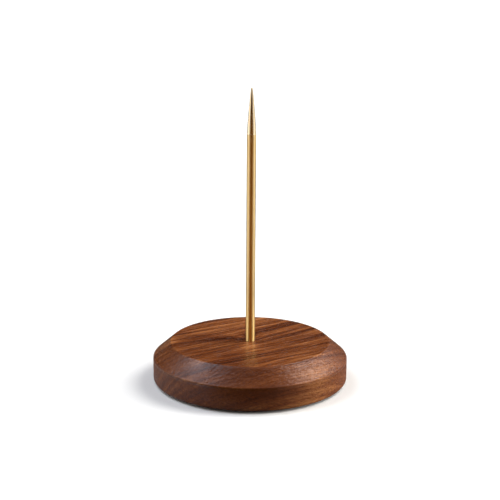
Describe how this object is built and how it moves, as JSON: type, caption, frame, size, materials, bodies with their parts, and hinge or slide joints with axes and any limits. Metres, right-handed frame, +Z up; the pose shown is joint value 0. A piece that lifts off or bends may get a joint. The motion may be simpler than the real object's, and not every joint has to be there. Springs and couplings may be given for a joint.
{
  "type": "ticket spike",
  "caption": "Ticket spike: round turned walnut base with a wide chamfer, and an upright pointed brass rod that paper tickets are pushed onto.",
  "frame": {"origin": "centre of the cork pad's underside, on the surface that the object stands on", "axes": "+Z up along the spike, -Y towards the picture's camera, +X to its right"},
  "size_m": [0.1016, 0.1016, 0.1532],
  "materials": {
    "walnut": "oiled walnut, satin",
    "brass": "drawn and polished brass",
    "steel": "zinc-plated steel",
    "cork": "pressed granulated cork, matt"
  },
  "bodies": {
    "root": {"walnut_base": "walnut", "brass_spike": "brass", "plain_washer": "steel", "spring_washer": "steel", "fixing_screw": "steel", "cork_pad": "cork"}
  },
  "joints": []
}
